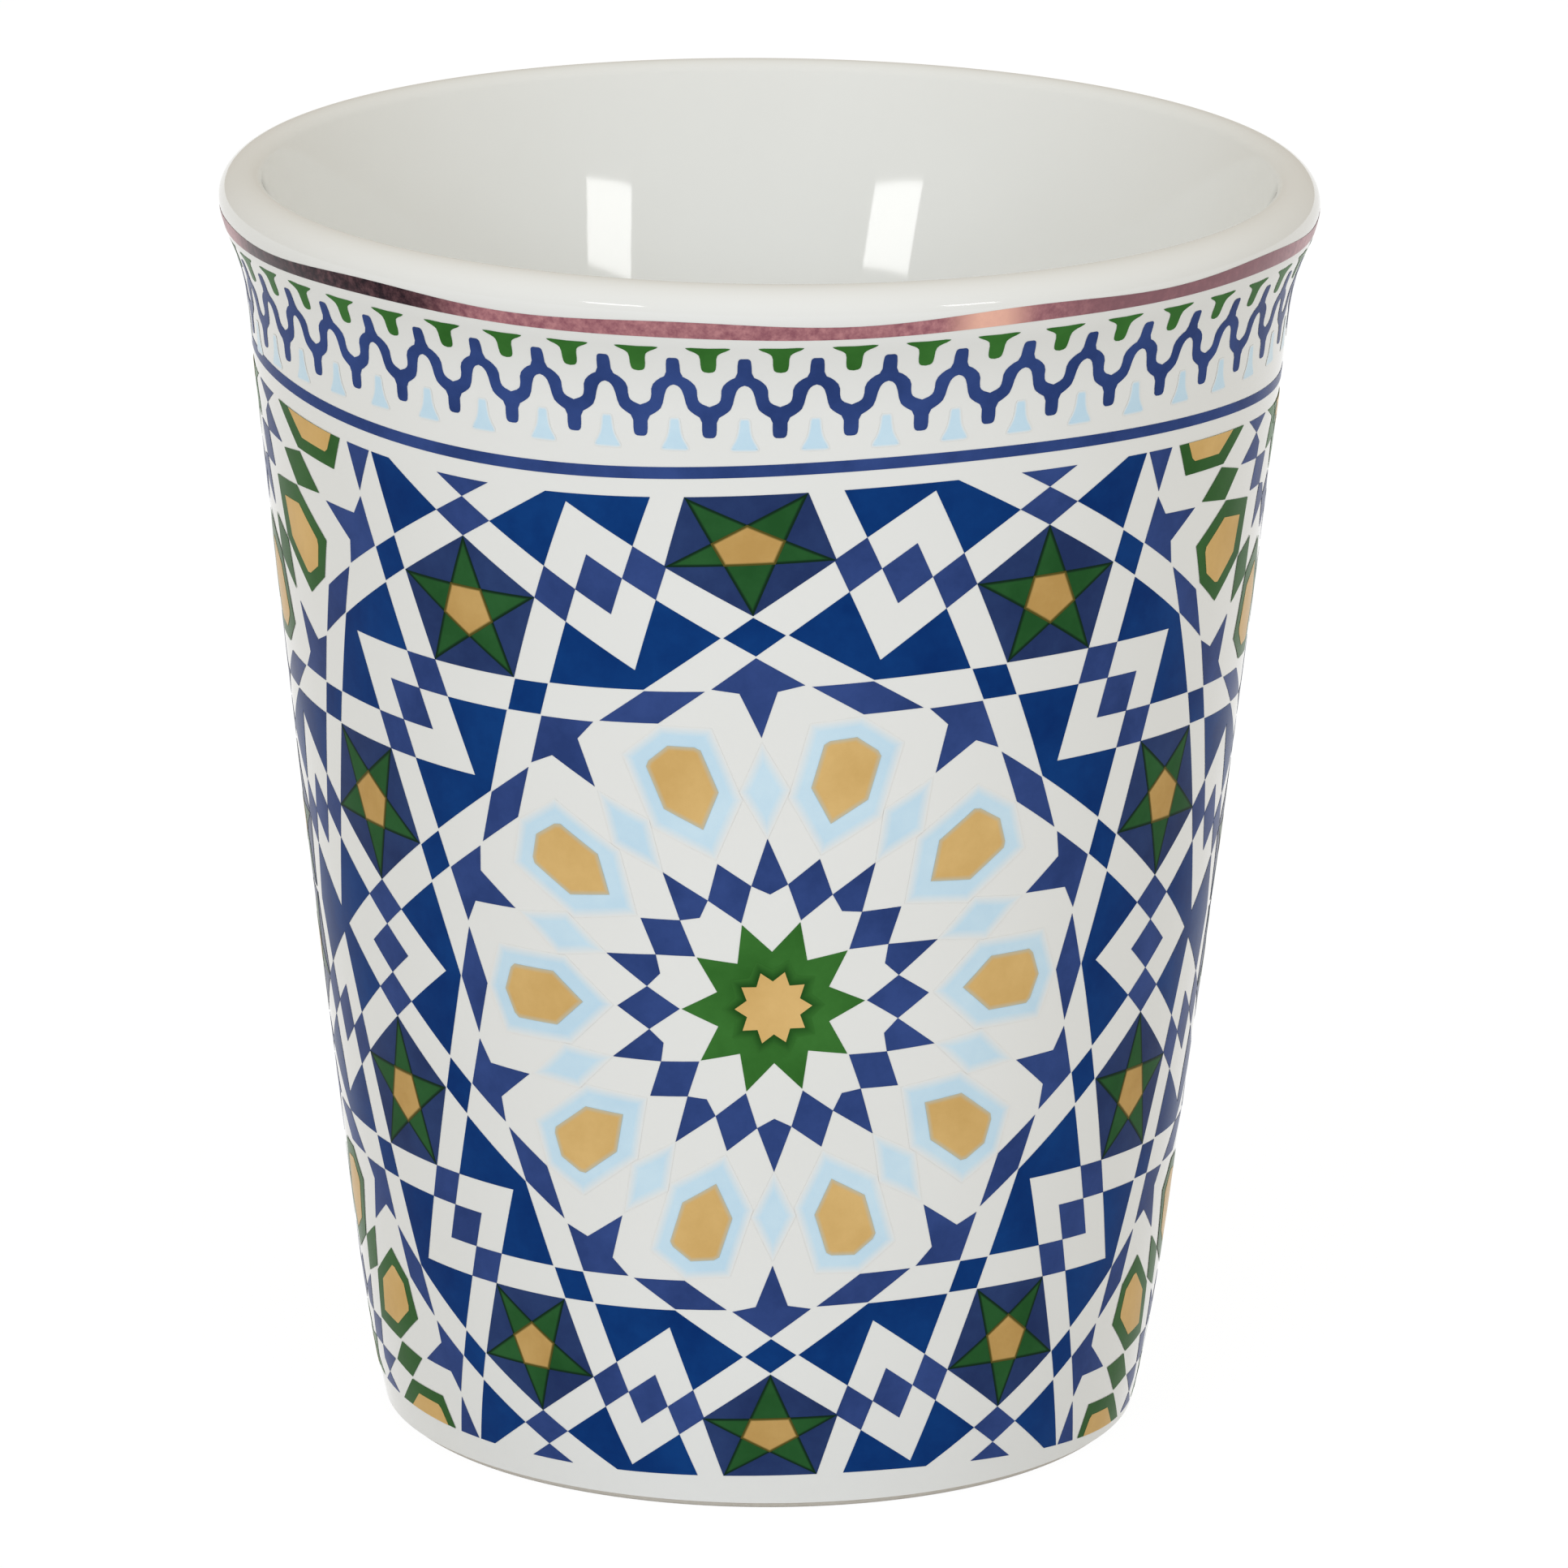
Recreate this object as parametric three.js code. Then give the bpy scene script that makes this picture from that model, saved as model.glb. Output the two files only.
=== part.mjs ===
// Espresso beaker without a handle: a tapered porcelain cup with a flared, rounded lip and a
// turned foot ring. A clear glaze covers it inside and out, and a tile print, a waved border,
// a ruled line and a metallic lustre line are fired on to the outside.
// Millimetres, +Z up. The origin is the centre of the foot ring's resting face.
import * as THREE from "three";

// Outside form, measured on the glazed surface
const RIM_RADIUS = 30;
const CUP_HEIGHT = 70;
const LIP_OUTER_RADIUS = 0.8; // rounding of the lip's outer edge
const LIP_INNER_RADIUS = 1.6; // softer rounding on the drinking side
const SHOULDER_RADIUS = 6; // rounding below the lip, where the flare turns upright
const FLARE_ANGLE = THREE.MathUtils.degToRad(25); // steepest lean of the flare
const FLARE_RADIUS = 12; // hollow curve between the wall and the flare
const HEEL_WALL_RADIUS = 22.45; // outside radius where the straight wall ends
const HEEL_HEIGHT = 10; // height of that point
const HEEL_CURVE_RADIUS = 90; // the wall draws in below it
const WALL_BOW = 0.15; // how far the wall swells beyond a straight line

// Clay
const FUNNEL_LIP_LEAN = THREE.MathUtils.degToRad(19.5); // lean of the inside just below the lip
const FUNNEL_FOOT_LEAN = THREE.MathUtils.degToRad(15); // and where the funnel ends
const FUNNEL_RADIUS = 160; // gentle curve between them
const THROAT_RADIUS = 50; // turns the funnel into the wall, which then follows the outside
const FLOOR_HEIGHT = 4.6; // glazed inside floor above the table
const FLOOR_FILLET_RADIUS = 6;
const FOOT_EDGE_RADIUS = 0.6;
const FOOT_RING_WIDTH = 2.4; // flat face that the cup stands on
const FOOT_WELL_DEPTH = 1.5; // hollow under the floor
const FOOT_WELL_FLARE = 0.8; // how much the hollow narrows towards the floor

// Glaze and fired-on decoration
const GLAZE_THICKNESS = 0.2;
const GLAZE_CLEARANCE = 0.02;
const FILM_THICKNESS = 0.06;
const FILM_CLEARANCE = 0.03;
const LUSTRE_WIDTH = 0.75;
const RULE_WIDTH = 0.55;

// Bare glaze between the decorations, from the rim down to the foot
const RIM_TO_LUSTRE = 1.825;
const LUSTRE_TO_WAVE = 1.175;
const WAVE_TO_RULE = 1.675;
const RULE_TO_FIELD = 1.225;
const FIELD_TO_FOOT = 1.7;

// Waved border line: a drawn stroke that swings between crests and valleys with a stub on each
const WAVE_COUNT = 48;
const WAVE_STUB_REACH = 2.15; // stub ends above and below the centre line
const WAVE_STUB_WIDTH = 0.75;
const WAVE_STUB_ROUNDING = 0.15;
const WAVE_SHOULDER_RISE = 1.1; // where a stub leaves the stroke
const WAVE_KNEE_RISE = 0.7; // where the sloping stroke turns steep
const WAVE_KNEE_SETBACK = 1.08; // distance of that knee from the crest's middle
const WAVE_TROUGH_DROP = 0.6; // inner edge of the valley below the centre line
const WAVE_TROUGH_FLAT = 0.2; // half of the valley's level middle
const WAVE_TROUGH_HALF_WIDTH = 0.5;
const WAVE_TROUGH_ROUNDING = 0.2;

// Smoothness of the turned solids
const TURN_STEPS = 48;
const LIP_STEPS = 3;
const CURVE_STEPS = 3;
const WALL_STEPS = 2;
const HEEL_STEPS = 2;
const FUNNEL_STEPS = 2;

const COLOURS = {
  clay: 0xe6e2d8,
  glaze: 0xe9e8e3,
  navy: 0x3b4583,
  tile: 0x6f86b4,
  lustre: 0xa46e74,
};

// Heights of the decorations, each hung below the one above it
const lustreTopZ = CUP_HEIGHT - RIM_TO_LUSTRE;
const lustreBottomZ = lustreTopZ - LUSTRE_WIDTH;
const waveCentreZ = lustreBottomZ - LUSTRE_TO_WAVE - WAVE_STUB_REACH;
const ruleTopZ = waveCentreZ - WAVE_STUB_REACH - WAVE_TO_RULE;
const ruleBottomZ = ruleTopZ - RULE_WIDTH;
const fieldTopZ = ruleBottomZ - RULE_TO_FIELD;

const UPRIGHT = Math.PI / 2;
const point = (r, z) => new THREE.Vector2(r, z);
const direction = (angle) => point(Math.cos(angle), Math.sin(angle));
const along = (start, angle, length) => start.clone().addScaledVector(direction(angle), length);

function arc(centre, radius, from, to, steps) {
  const points = [];
  for (let i = 0; i <= steps; i += 1) {
    points.push(along(centre, THREE.MathUtils.lerp(from, to, i / steps), radius));
  }
  return points;
}

// The wall between two points, swelling outwards by the bow; the end points are left to the
// arcs that they belong to.
function bowedWall(start, end, outward) {
  const points = [];
  for (let i = 1; i < WALL_STEPS; i += 1) {
    const t = i / WALL_STEPS;
    const swell = 4 * WALL_BOW * t * (1 - t);
    points.push(start.clone().lerp(end, t).addScaledVector(outward, swell));
  }
  return points;
}

// Centres of the tangent arcs, from the lip downwards
const lipOuterCentre = point(RIM_RADIUS - LIP_OUTER_RADIUS, CUP_HEIGHT - LIP_OUTER_RADIUS);
const lipInnerCentre = point(lipOuterCentre.x, CUP_HEIGHT - LIP_INNER_RADIUS);
const shoulderCentre = point(RIM_RADIUS - SHOULDER_RADIUS, lipOuterCentre.y);
const flareCentre = along(shoulderCentre, -FLARE_ANGLE, SHOULDER_RADIUS + FLARE_RADIUS);
const heel = point(HEEL_WALL_RADIUS, HEEL_HEIGHT);

// Lean of the wall: the line from the heel that just touches the flare's circle
const heelFromFlare = heel.clone().sub(flareCentre);
const wallLean =
  -Math.acos(-FLARE_RADIUS / heelFromFlare.length()) - Math.atan2(heelFromFlare.y, heelFromFlare.x);
const wallOutward = direction(-wallLean);
const heelCentre = along(heel, -wallLean, -HEEL_CURVE_RADIUS);

// Inside below the lip: the funnel runs into the throat, and the throat into the inside wall
const funnelCentre = along(lipInnerCentre, -FUNNEL_LIP_LEAN, FUNNEL_RADIUS - LIP_INNER_RADIUS);
const throatCentre = along(funnelCentre, Math.PI - FUNNEL_FOOT_LEAN, FUNNEL_RADIUS - THROAT_RADIUS);
const throatFoot = along(throatCentre, Math.PI - wallLean, THROAT_RADIUS);

// Rounding between the inside wall and the floor
const filletCentreZ = FLOOR_HEIGHT + FLOOR_FILLET_RADIUS;
const filletReach =
  throatFoot.dot(wallOutward) - FLOOR_FILLET_RADIUS - wallOutward.y * filletCentreZ;
const filletCentre = point(filletReach / wallOutward.x, filletCentreZ);

// The inside surface, from the middle of the floor to the top of the lip. Depth is the distance
// below the glazed surface, so that every layer is a true offset of the same form.
function insideProfile(depth) {
  const fillet = arc(filletCentre, FLOOR_FILLET_RADIUS + depth, -UPRIGHT, -wallLean, CURVE_STEPS);
  const throat = arc(
    throatCentre,
    THROAT_RADIUS - depth,
    Math.PI - wallLean,
    Math.PI - FUNNEL_FOOT_LEAN,
    CURVE_STEPS,
  );
  const funnel = arc(
    funnelCentre,
    FUNNEL_RADIUS - depth,
    Math.PI - FUNNEL_FOOT_LEAN,
    Math.PI - FUNNEL_LIP_LEAN,
    FUNNEL_STEPS,
  );
  const lip = arc(
    lipInnerCentre,
    LIP_INNER_RADIUS - depth,
    Math.PI - FUNNEL_LIP_LEAN,
    UPRIGHT,
    LIP_STEPS,
  );
  const middle = point(0, FLOOR_HEIGHT - depth);
  return [middle, ...fillet, ...throat, ...funnel.slice(1), ...lip.slice(1)];
}

// The outside surface, from the lip down to the end of the heel's curve.
function outsideProfile(depth) {
  const lip = arc(lipOuterCentre, LIP_OUTER_RADIUS - depth, UPRIGHT, 0, LIP_STEPS);
  const shoulder = arc(shoulderCentre, SHOULDER_RADIUS - depth, 0, -FLARE_ANGLE, CURVE_STEPS);
  const flare = arc(
    flareCentre,
    FLARE_RADIUS + depth,
    Math.PI - FLARE_ANGLE,
    Math.PI - wallLean,
    CURVE_STEPS,
  );
  const heelRadius = HEEL_CURVE_RADIUS - depth;
  const heelCurve = arc(heelCentre, heelRadius, -wallLean, footAngle(depth), HEEL_STEPS);
  const wall = bowedWall(flare.at(-1), heelCurve[0], wallOutward);
  return [...lip, ...shoulder.slice(1), ...flare.slice(1), ...wall, ...heelCurve];
}

// Direction in which the heel's curve runs into the rounded edge of the foot
function footAngle(depth) {
  const reach = HEEL_CURVE_RADIUS - depth - FOOT_EDGE_RADIUS;
  return -Math.asin((heelCentre.y - FOOT_EDGE_RADIUS) / reach);
}

function footEdge(depth) {
  const reach = HEEL_CURVE_RADIUS - depth - FOOT_EDGE_RADIUS;
  const centre = along(heelCentre, footAngle(depth), reach);
  return arc(centre, FOOT_EDGE_RADIUS, footAngle(depth), -UPRIGHT, LIP_STEPS);
}

// Outside radius of the surface at a height
function radiusAt(z, depth) {
  const profile = outsideProfile(depth);
  const i = profile.findIndex((p) => p.y <= z);
  const [above, below] = [profile[i - 1], profile[i]];
  return THREE.MathUtils.mapLinear(z, below.y, above.y, below.x, above.x);
}

// A solid of revolution about Z, from a profile that runs down the outside
function turned(name, profile, material) {
  const geometry = new THREE.LatheGeometry([...profile].reverse(), TURN_STEPS);
  geometry.rotateX(UPRIGHT);
  const mesh = new THREE.Mesh(geometry, material);
  mesh.name = name;
  return mesh;
}

// A fired-on film that follows the outside of the glaze between two heights
function sleeve(name, bottomZ, topZ, material) {
  const face = (depth) => [
    point(radiusAt(topZ, depth), topZ),
    ...outsideProfile(depth).filter((p) => p.y < topZ && p.y > bottomZ),
    point(radiusAt(bottomZ, depth), bottomZ),
  ];
  const outer = face(-FILM_CLEARANCE - FILM_THICKNESS);
  const inner = face(-FILM_CLEARANCE).reverse();
  return turned(name, [...outer, ...inner, outer[0].clone()], material);
}

function porcelainBody(material) {
  const depth = GLAZE_THICKNESS + GLAZE_CLEARANCE;
  const edge = footEdge(depth);
  const ringInner = edge.at(-1).x - FOOT_RING_WIDTH;
  const foot = [
    ...edge.slice(1),
    point(ringInner, 0),
    point(ringInner - FOOT_WELL_FLARE, FOOT_WELL_DEPTH),
    point(0, FOOT_WELL_DEPTH),
  ];
  const profile = [...insideProfile(depth), ...outsideProfile(depth).slice(1), ...foot];
  return turned("porcelain_body", profile, material);
}

// One unbroken coat from the middle of the inside floor over the lip to the foot's edge
function glazeCoat(material) {
  const face = (depth) => [...insideProfile(depth), ...outsideProfile(depth).slice(1)];
  return turned("glaze_coat", [...face(0), ...face(GLAZE_THICKNESS).reverse()], material);
}

// Glaze in the hollow under the foot; the ring that the cup stands on stays bare
function footWellGlaze(material) {
  const edge = footEdge(GLAZE_THICKNESS + GLAZE_CLEARANCE);
  const wellRadius = edge.at(-1).x - FOOT_RING_WIDTH - FOOT_WELL_FLARE;
  const topZ = FOOT_WELL_DEPTH - GLAZE_CLEARANCE;
  const bottomZ = topZ - GLAZE_THICKNESS;
  const profile = [
    point(0, topZ),
    point(wellRadius - GLAZE_CLEARANCE, topZ),
    point(wellRadius - GLAZE_CLEARANCE, bottomZ),
    point(0, bottomZ),
  ];
  return turned("foot_well_glaze", profile, material);
}

// Upper edge of the waved stroke from a valley's middle to the next crest's middle, as distance
// along the cup and height above the centre line. The lower edge is the same line turned
// half a turn about the middle of that stretch.
function waveEdge(halfPeriod) {
  const stubSide = halfPeriod - WAVE_STUB_WIDTH / 2;
  return [
    point(0, -WAVE_TROUGH_DROP),
    point(WAVE_TROUGH_FLAT, -WAVE_TROUGH_DROP),
    point(WAVE_TROUGH_HALF_WIDTH, WAVE_TROUGH_ROUNDING - WAVE_TROUGH_DROP),
    point(halfPeriod - WAVE_KNEE_SETBACK, WAVE_KNEE_RISE),
    point(stubSide, WAVE_SHOULDER_RISE),
    point(stubSide, WAVE_STUB_REACH - WAVE_STUB_ROUNDING),
    point(halfPeriod, WAVE_STUB_REACH),
  ];
}

// Both edges of the stroke all the way round, as pairs of points at equal steps along it
function waveLadder() {
  const halfPeriod = (Math.PI * radiusAt(waveCentreZ, 0)) / WAVE_COUNT;
  const upper = waveEdge(halfPeriod);
  const lower = [...upper].reverse().map((p) => point(halfPeriod - p.x, -p.y));
  const climb = upper.map((p, i) => ({ upper: p, lower: lower[i] })).slice(0, -1);
  const mirrored = ({ x, y }) => point(2 * halfPeriod - x, y);
  const fall = upper
    .map((p, i) => ({ upper: mirrored(p), lower: mirrored(lower[i]) }))
    .slice(1)
    .reverse();
  const wave = [...climb, ...fall];
  const rungs = [];
  for (let n = 0; n < WAVE_COUNT; n += 1) {
    const start = 2 * halfPeriod * n;
    for (const { upper: u, lower: l } of wave) {
      rungs.push([point(start + u.x, u.y), point(start + l.x, l.y)]);
    }
  }
  return { rungs, length: 2 * halfPeriod * WAVE_COUNT };
}

// The waved line as one closed ring: each rung of the ladder has four corners, two on the
// outside and two on the glaze side.
function waveLine(material) {
  const { rungs, length } = waveLadder();
  const positions = [];
  const index = [];
  const corner = ({ x, y }, depth) => {
    const z = waveCentreZ + y;
    const angle = (x / length) * 2 * Math.PI;
    const radius = radiusAt(z, depth);
    positions.push(radius * Math.cos(angle), radius * Math.sin(angle), z);
  };
  for (const [upper, lower] of rungs) {
    corner(lower, -FILM_CLEARANCE - FILM_THICKNESS);
    corner(upper, -FILM_CLEARANCE - FILM_THICKNESS);
    corner(upper, -FILM_CLEARANCE);
    corner(lower, -FILM_CLEARANCE);
  }
  const corners = (rung) => [0, 1, 2, 3].map((n) => 4 * (rung % rungs.length) + n);
  for (let i = 0; i < rungs.length; i += 1) {
    const [low, high, highBack, lowBack] = corners(i);
    const [nextLow, nextHigh, nextHighBack, nextLowBack] = corners(i + 1);
    index.push(low, nextLow, high, nextLow, nextHigh, high);
    index.push(lowBack, highBack, nextLowBack, nextLowBack, highBack, nextHighBack);
    index.push(high, nextHigh, highBack, nextHigh, nextHighBack, highBack);
    index.push(low, lowBack, nextLow, lowBack, nextLowBack, nextLow);
  }
  const geometry = new THREE.BufferGeometry();
  geometry.setAttribute("position", new THREE.Float32BufferAttribute(positions, 3));
  geometry.setIndex(index);
  geometry.computeVertexNormals();
  const mesh = new THREE.Mesh(geometry, material);
  mesh.name = "wave_line";
  return mesh;
}

const enamel = (color) => new THREE.MeshStandardMaterial({ color, roughness: 0.3, metalness: 0 });
const clay = new THREE.MeshStandardMaterial({ color: COLOURS.clay, roughness: 0.8, metalness: 0 });
const glaze = new THREE.MeshStandardMaterial({ color: COLOURS.glaze, roughness: 0.1, metalness: 0 });
const lustre = new THREE.MeshStandardMaterial({ color: COLOURS.lustre, roughness: 0.25, metalness: 0.8 });

const cup = new THREE.Group();
cup.add(porcelainBody(clay));
cup.add(glazeCoat(glaze));
cup.add(footWellGlaze(glaze.clone()));
cup.add(sleeve("lustre_line", lustreBottomZ, lustreTopZ, lustre));
cup.add(waveLine(enamel(COLOURS.navy)));
cup.add(sleeve("border_rule", ruleBottomZ, ruleTopZ, enamel(COLOURS.navy)));
cup.add(sleeve("field_transfer", FIELD_TO_FOOT, fieldTopZ, enamel(COLOURS.tile)));

export default cup;
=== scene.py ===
# %% [markdown]
# # An espresso beaker with a tile print
# The cup is turned porcelain: a tapered wall, a small flared lip and a foot ring. A clear white
# glaze covers it, and inks are fired on to the glaze: a star-and-strap tile pattern, a waved
# border, a thin rule and a metallic lustre line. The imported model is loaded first, because every
# piece below has to sit exactly where that model says.

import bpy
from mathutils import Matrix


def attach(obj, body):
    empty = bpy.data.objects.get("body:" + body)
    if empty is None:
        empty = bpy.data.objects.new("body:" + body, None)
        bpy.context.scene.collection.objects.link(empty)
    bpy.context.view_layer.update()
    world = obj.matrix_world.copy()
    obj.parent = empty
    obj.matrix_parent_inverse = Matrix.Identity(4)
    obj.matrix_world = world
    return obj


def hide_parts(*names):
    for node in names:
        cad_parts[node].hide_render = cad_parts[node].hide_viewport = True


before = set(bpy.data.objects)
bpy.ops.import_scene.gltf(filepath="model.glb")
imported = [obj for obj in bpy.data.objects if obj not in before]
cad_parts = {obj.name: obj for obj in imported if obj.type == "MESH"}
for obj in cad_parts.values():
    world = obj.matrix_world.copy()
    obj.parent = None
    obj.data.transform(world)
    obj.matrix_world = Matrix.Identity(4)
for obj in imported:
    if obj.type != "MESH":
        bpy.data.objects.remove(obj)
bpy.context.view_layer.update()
print("packed model:", sorted(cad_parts))

# %% Tools that the lesson uses
from math import acos, asin, atan2, cos, degrees, pi, radians, sin, tan

import bmesh
import bpy
from mathutils import Matrix, Vector
from mathutils.geometry import intersect_line_line_2d

MM = 0.001  # the scene is in metres, the cup is measured in millimetres

# %% [markdown]
# ## The section of the cup
# A potter would draw half of the cup's section and turn it about the middle. The section is a
# chain of arcs that run smoothly into each other, so each arc needs only a centre, a radius and
# the two directions between which it runs. It is kept as a list of points, radius and height in
# millimetres, because both the spin and the print need to know where the wall is.

# %% Sizes of the section
RIM_RADIUS = 30
CUP_HEIGHT = 70
LIP_OUTER_RADIUS = 1.5  # the rounding of the lip's two edges
LIP_INNER_RADIUS = 0.9
SHOULDER_RADIUS = 6  # the bulge under the lip
SHOULDER_HEIGHT = 69.2
FLARE_ANGLE = radians(25)  # where the bulge turns into the hollow curve above the wall
FLARE_RADIUS = 12
HEEL_WALL_RADIUS = 22.45  # where the wall begins to turn in to the foot
HEEL_HEIGHT = 10
HEEL_CURVE_RADIUS = 90
WALL_BOW = 0.15  # how far the wall swells between flare and heel
FUNNEL_LIP_LEAN = radians(19.5)  # the inside starts as a funnel
FUNNEL_FOOT_LEAN = radians(15)
FUNNEL_RADIUS = 160
THROAT_RADIUS = 50  # and then turns down along the wall
FLOOR_HEIGHT = 4.6
FLOOR_FILLET_RADIUS = 6
FOOT_EDGE_RADIUS = 0.6
FOOT_RING_WIDTH = 2.4
FOOT_WELL_DEPTH = 1.5
FOOT_WELL_FLARE = 0.8
GLAZE_THICKNESS = 0.2
GLAZE_CLEARANCE = 0.02  # keeps the clay's surface out of the glaze's
CURVE_STEPS = 12
WALL_STEPS = 20
FOOT_STEPS = 6
print("cup:", 2 * RIM_RADIUS, "mm across and", CUP_HEIGHT, "mm high")


# %% Arcs and the bowed wall
def heading(angle):
    return Vector((cos(angle), sin(angle)))


def arc(centre, radius, start, end, steps=CURVE_STEPS):
    angles = [start + (end - start) * i / steps for i in range(steps + 1)]
    return [centre + radius * heading(angle) for angle in angles]


def bowed(start, end, outward):
    shares = [i / WALL_STEPS for i in range(1, WALL_STEPS)]
    return [start.lerp(end, t) + 4 * WALL_BOW * t * (1 - t) * outward for t in shares]


shoulder = Vector((RIM_RADIUS - SHOULDER_RADIUS, SHOULDER_HEIGHT))
lip_drop = SHOULDER_HEIGHT - (CUP_HEIGHT - LIP_OUTER_RADIUS)
lip_angle = asin(lip_drop / (SHOULDER_RADIUS - LIP_OUTER_RADIUS))
lip_outer = shoulder + (SHOULDER_RADIUS - LIP_OUTER_RADIUS) * heading(-lip_angle)
lip_inner = Vector((lip_outer.x, CUP_HEIGHT - LIP_INNER_RADIUS))
flare = shoulder + (SHOULDER_RADIUS + FLARE_RADIUS) * heading(-FLARE_ANGLE)
heel = Vector((HEEL_WALL_RADIUS, HEEL_HEIGHT))
to_heel = heel - flare
wall_lean = -acos(-FLARE_RADIUS / to_heel.length) - atan2(to_heel.y, to_heel.x)
wall_outward = heading(-wall_lean)
heel_centre = heel - HEEL_CURVE_RADIUS * wall_outward
print("the wall leans", round(degrees(wall_lean), 2), "degrees")

# %% The inside, from the middle of the floor up to the lip
funnel = lip_inner + (FUNNEL_RADIUS - LIP_INNER_RADIUS) * heading(-FUNNEL_LIP_LEAN)
throat = funnel + (FUNNEL_RADIUS - THROAT_RADIUS) * heading(pi - FUNNEL_FOOT_LEAN)
throat_foot = throat + THROAT_RADIUS * heading(pi - wall_lean)
fillet_height = FLOOR_HEIGHT + FLOOR_FILLET_RADIUS
fillet_reach = throat_foot.dot(wall_outward) - FLOOR_FILLET_RADIUS - wall_outward.y * fillet_height
fillet = Vector((fillet_reach / wall_outward.x, fillet_height))


def inside_section(depth):
    floor_curve = arc(fillet, FLOOR_FILLET_RADIUS + depth, -pi / 2, -wall_lean)
    throat_curve = arc(throat, THROAT_RADIUS - depth, pi - wall_lean, pi - FUNNEL_FOOT_LEAN)
    funnel_curve = arc(funnel, FUNNEL_RADIUS - depth, pi - FUNNEL_FOOT_LEAN, pi - FUNNEL_LIP_LEAN)
    lip_curve = arc(lip_inner, LIP_INNER_RADIUS - depth, pi - FUNNEL_LIP_LEAN, pi / 2)
    middle = [Vector((0, FLOOR_HEIGHT - depth)), Vector((fillet.x / 2, FLOOR_HEIGHT - depth))]
    return middle + floor_curve + throat_curve + funnel_curve[1:] + lip_curve[1:]


print("inside wall meets the floor's rounding at radius", round(fillet.x, 2), "mm")


# %% The outside, from the lip down to the foot
def foot_angle(depth):
    reach = HEEL_CURVE_RADIUS - depth - FOOT_EDGE_RADIUS
    return -asin((heel_centre.y - FOOT_EDGE_RADIUS) / reach)


def outside_section(depth):
    lip_curve = arc(lip_outer, LIP_OUTER_RADIUS - depth, pi / 2, -lip_angle)
    shoulder_curve = arc(shoulder, SHOULDER_RADIUS - depth, -lip_angle, -FLARE_ANGLE)
    flare_curve = arc(flare, FLARE_RADIUS + depth, pi - FLARE_ANGLE, pi - wall_lean)
    heel_curve = arc(heel_centre, HEEL_CURVE_RADIUS - depth, -wall_lean, foot_angle(depth))
    wall = bowed(flare_curve[-1], heel_curve[0], wall_outward)
    return lip_curve + shoulder_curve[1:] + flare_curve[1:] + wall + heel_curve


def foot_edge(depth):
    reach = HEEL_CURVE_RADIUS - depth - FOOT_EDGE_RADIUS
    centre = heel_centre + reach * heading(foot_angle(depth))
    return arc(centre, FOOT_EDGE_RADIUS, foot_angle(depth), -pi / 2, FOOT_STEPS)


print("outside section:", len(outside_section(0)), "points")

# %% [markdown]
# ## Turning the clay and the glaze
# A cylinder could be pushed and pulled into this shape, but then no row would lie quite where
# the section wants it. Here one vertex is extruded along the section, as a pencil follows a
# template, and Spin turns the line round the axis, which is what the potter's wheel does. The
# seam of the spin is merged and the normals are recalculated, since a spin can come out
# inside out.

# %% Spin a section about the cup's axis
TURN_STEPS = 192
WELD = 1e-6  # metres; points nearer than this become one
SMOOTH_BELOW = radians(35)  # bends flatter than this are shaded as one round surface


def start_piece(name):
    bpy.ops.object.select_all(action="DESELECT")
    bpy.ops.mesh.primitive_plane_add(size=MM, location=(0, 0, 0))
    piece = bpy.context.object
    piece.name = name
    piece.data.name = name
    bpy.ops.object.mode_set(mode="EDIT")
    bpy.ops.mesh.select_all(action="SELECT")
    return piece


def turn(name, section):
    piece = start_piece(name)
    bpy.ops.mesh.merge(type="CENTER")
    bpy.ops.transform.translate(value=(section[0].x * MM, 0, section[0].y * MM))
    for here, there in zip(section, section[1:]):
        step = ((there.x - here.x) * MM, 0, (there.y - here.y) * MM)
        bpy.ops.mesh.extrude_region_move(TRANSFORM_OT_translate={"value": step})
    bpy.ops.mesh.select_all(action="SELECT")
    bpy.ops.mesh.spin(steps=TURN_STEPS, angle=2 * pi, center=(0, 0, 0), axis=(0, 0, 1))
    bpy.ops.mesh.select_all(action="SELECT")
    bpy.ops.mesh.remove_doubles(threshold=WELD)
    bpy.ops.mesh.normals_make_consistent(inside=False)
    bpy.ops.object.mode_set(mode="OBJECT")
    bpy.ops.object.shade_smooth_by_angle(angle=SMOOTH_BELOW)
    print(name, len(piece.data.polygons), "faces")
    return piece


# %% The glaze coat, over the lip from the inside floor to the foot
def coat(depth):
    return inside_section(depth) + outside_section(depth)[1:]


glaze_coat = turn("glaze_skin", coat(0) + coat(GLAZE_THICKNESS)[::-1])
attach(glaze_coat, "root")
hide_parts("glaze_coat")

# %% The clay under it, bare only on the ring that the cup stands on
clay_depth = GLAZE_THICKNESS + GLAZE_CLEARANCE
foot = foot_edge(clay_depth)
ring_inner = foot[-1].x - FOOT_RING_WIDTH
well_radius = ring_inner - FOOT_WELL_FLARE
well = [Vector((ring_inner, 0)), Vector((well_radius, FOOT_WELL_DEPTH)), Vector((0, FOOT_WELL_DEPTH))]
clay_body = turn("clay_body", coat(clay_depth) + foot[1:] + well)
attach(clay_body, "root")
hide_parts("porcelain_body")

# %% The glaze in the hollow of the foot
well_top = FOOT_WELL_DEPTH - GLAZE_CLEARANCE
well_bottom = well_top - GLAZE_THICKNESS
well_edge = well_radius - GLAZE_CLEARANCE
disc = [(0, well_top), (well_edge, well_top), (well_edge, well_bottom), (0, well_bottom)]
foot_well = turn("foot_well_skin", [Vector(corner) for corner in disc])
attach(foot_well, "root")
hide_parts("foot_well_glaze")

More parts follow.
